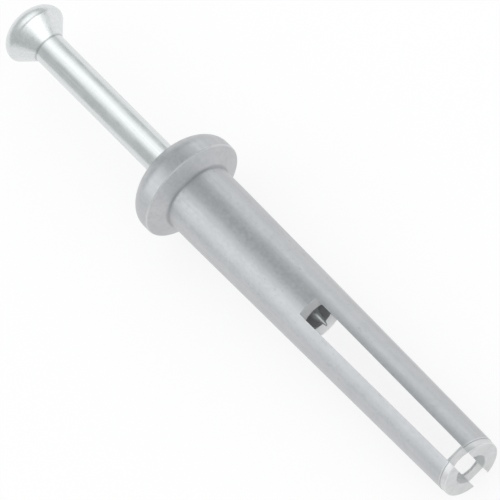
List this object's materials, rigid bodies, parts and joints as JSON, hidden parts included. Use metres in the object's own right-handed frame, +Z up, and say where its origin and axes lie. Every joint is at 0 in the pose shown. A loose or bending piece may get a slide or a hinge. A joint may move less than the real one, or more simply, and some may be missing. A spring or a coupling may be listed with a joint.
{
  "type": "hammer drive anchor",
  "caption": "Hammer drive anchor: a mushroom-headed, tapered casting with a split tip, and a headed nail that slides home in its bore to spread the legs.",
  "frame": {"origin": "on the ground, in the middle of the anchor's length and width as it lies", "axes": "+X along the anchor towards its split tip, +Y across the slot, +Z up from the ground; the anchor's own axis dips 3.4 degrees below +X"},
  "size_m": [0.0586, 0.0098, 0.0098],
  "materials": {
    "zinc_casting": "satin",
    "zinc_plated_steel": "satin"
  },
  "bodies": {
    "anchor": {"anchor_body": "zinc_casting"},
    "nail": {"drive_nail": "zinc_plated_steel"}
  },
  "joints": [
    {"name": "nail_drive", "type": "slide", "parent": "anchor", "child": "nail", "axis": [0.9982, 0, -0.0594], "range_m": [0, 0.01748]}
  ]
}
